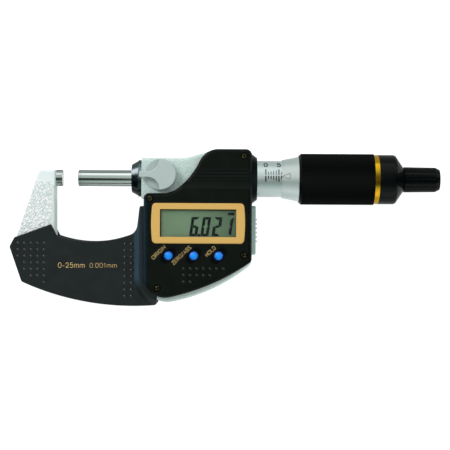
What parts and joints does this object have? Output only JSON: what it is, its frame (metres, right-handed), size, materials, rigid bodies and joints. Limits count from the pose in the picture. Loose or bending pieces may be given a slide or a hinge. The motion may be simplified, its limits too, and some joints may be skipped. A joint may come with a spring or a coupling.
{
  "type": "digital outside micrometer",
  "caption": "Digital outside micrometer with a C-shaped frame, display housing, spindle clamp and ratchet thimble, for measuring outside sizes up to 25 mm.",
  "frame": {"origin": "centre of the anvil's measuring face, on the spindle axis", "axes": "+X along the spindle axis towards the ratchet knob, +Y the way the display's digits stand up, +Z out of the display side"},
  "size_m": [0.1653, 0.0602, 0.023],
  "materials": {
    "frame_paint": "hammertone",
    "anvil_steel": "ground",
    "carbide": "lapped",
    "cover_plastic": "satin",
    "seal_plastic": "gloss",
    "wiper_rubber": "matte",
    "bush_brass": "machined",
    "housing_plastic": "satin",
    "gold_trim": "anodised",
    "window_clear": "clear",
    "lcd": "matte",
    "board": "satin",
    "membrane_rubber": "matte",
    "button_blue": "gloss",
    "dark_screw": "blackened",
    "cell_steel": "plated",
    "contact_brass": "plated",
    "lid_plastic": "satin",
    "gasket_rubber": "matte",
    "socket_plastic": "matte",
    "cap_plastic": "satin",
    "rotor_brass": "machined",
    "encoder_board": "satin",
    "key_steel": "ground",
    "spring_steel": "bright",
    "sleeve_steel": "turned",
    "satin_chrome": "satin chrome",
    "collar_black": "gloss",
    "spindle_steel": "ground",
    "thimble_chrome": "satin chrome",
    "ratchet_steel": "hardened",
    "end_cap_black": "gloss",
    "accent_gold": "anodised",
    "grip_black": "anodised",
    "clamp_steel": "machined",
    "knob_grey": "satin"
  },
  "bodies": {
    "frame_body": {"frame": "frame_paint", "anvil": "anvil_steel", "anvil_tip": "carbide", "front_insulating_cover": "cover_plastic", "rear_insulating_cover": "cover_plastic", "spindle_seal": "seal_plastic", "spindle_wiper": "wiper_rubber", "spindle_bush": "bush_brass", "clamp_pad": "bush_brass", "display_housing": "housing_plastic", "display_bezel": "gold_trim", "display_window": "window_clear", "lcd_module": "lcd", "circuit_board": "board", "button_membrane": "membrane_rubber", "housing_screws": "dark_screw", "battery": "cell_steel", "battery_contact": "contact_brass", "output_connector": "socket_plastic", "connector_cap": "cap_plastic", "connector_cap_screws": "dark_screw", "encoder_stator": "encoder_board", "rotor_spring": "spring_steel", "inner_sleeve": "sleeve_steel", "adjusting_nut": "sleeve_steel", "outer_sleeve": "satin_chrome", "sleeve_collar": "collar_black"},
    "encoder_rotor_body": {"rotor_bush": "rotor_brass", "encoder_rotor": "encoder_board", "rotor_key": "key_steel"},
    "spindle_body": {"spindle": "spindle_steel", "spindle_tip": "carbide", "thimble_core": "thimble_chrome", "sleeve_retaining_ring": "spring_steel", "ratchet_wheel": "ratchet_steel", "ratchet_screw": "ratchet_steel"},
    "ratchet_sleeve_body": {"grip_sleeve": "grip_black", "accent_ring": "accent_gold", "end_cap": "end_cap_black", "pawl_disc": "ratchet_steel", "ratchet_spring": "spring_steel"},
    "clamp_body": {"clamp_knob": "knob_grey", "clamp_screw": "clamp_steel"},
    "battery_lid_body": {"battery_lid": "lid_plastic", "battery_lid_gasket": "gasket_rubber"},
    "origin_button_body": {"origin_button": "button_blue"},
    "zero_button_body": {"zero_button": "button_blue"},
    "hold_button_body": {"hold_button": "button_blue"}
  },
  "joints": [
    {"name": "thimble_turn", "type": "hinge", "parent": "frame_body", "child": "encoder_rotor_body", "pos_m": [0.06, 0, 0], "axis": [1, 0, 0], "range_deg": [-1084, 3507]},
    {"name": "spindle_feed", "type": "slide", "parent": "encoder_rotor_body", "child": "spindle_body", "axis": [1, 0, 0], "range_m": [-0.00602, 0.01948]},
    {"name": "ratchet_slip", "type": "hinge", "parent": "spindle_body", "child": "ratchet_sleeve_body", "pos_m": [0.12, 0, 0], "axis": [1, 0, 0], "continuous": true},
    {"name": "clamp_turn", "type": "hinge", "parent": "frame_body", "child": "clamp_body", "pos_m": [0.0382, 0.00125, 0.008], "axis": [0, 0, -1], "range_deg": [0, 60]},
    {"name": "battery_lid_turn", "type": "hinge", "parent": "frame_body", "child": "battery_lid_body", "pos_m": [0.052, -0.027, -0.0095], "axis": [0, 0, -1], "range_deg": [0, 60]},
    {"name": "origin_button_press", "type": "slide", "parent": "frame_body", "child": "origin_button_body", "axis": [0, 0, -1], "range_m": [0, 0.0004], "stiffness_N_per_m": 800, "springref_m": -0.001},
    {"name": "zero_button_press", "type": "slide", "parent": "frame_body", "child": "zero_button_body", "axis": [0, 0, -1], "range_m": [0, 0.0004], "stiffness_N_per_m": 800, "springref_m": -0.001},
    {"name": "hold_button_press", "type": "slide", "parent": "frame_body", "child": "hold_button_body", "axis": [0, 0, -1], "range_m": [0, 0.0004], "stiffness_N_per_m": 800, "springref_m": -0.001}
  ],
  "couplings": [
    {"joint": "thimble_turn", "follows": "spindle_feed", "rad_per_m": 3141.6}
  ]
}
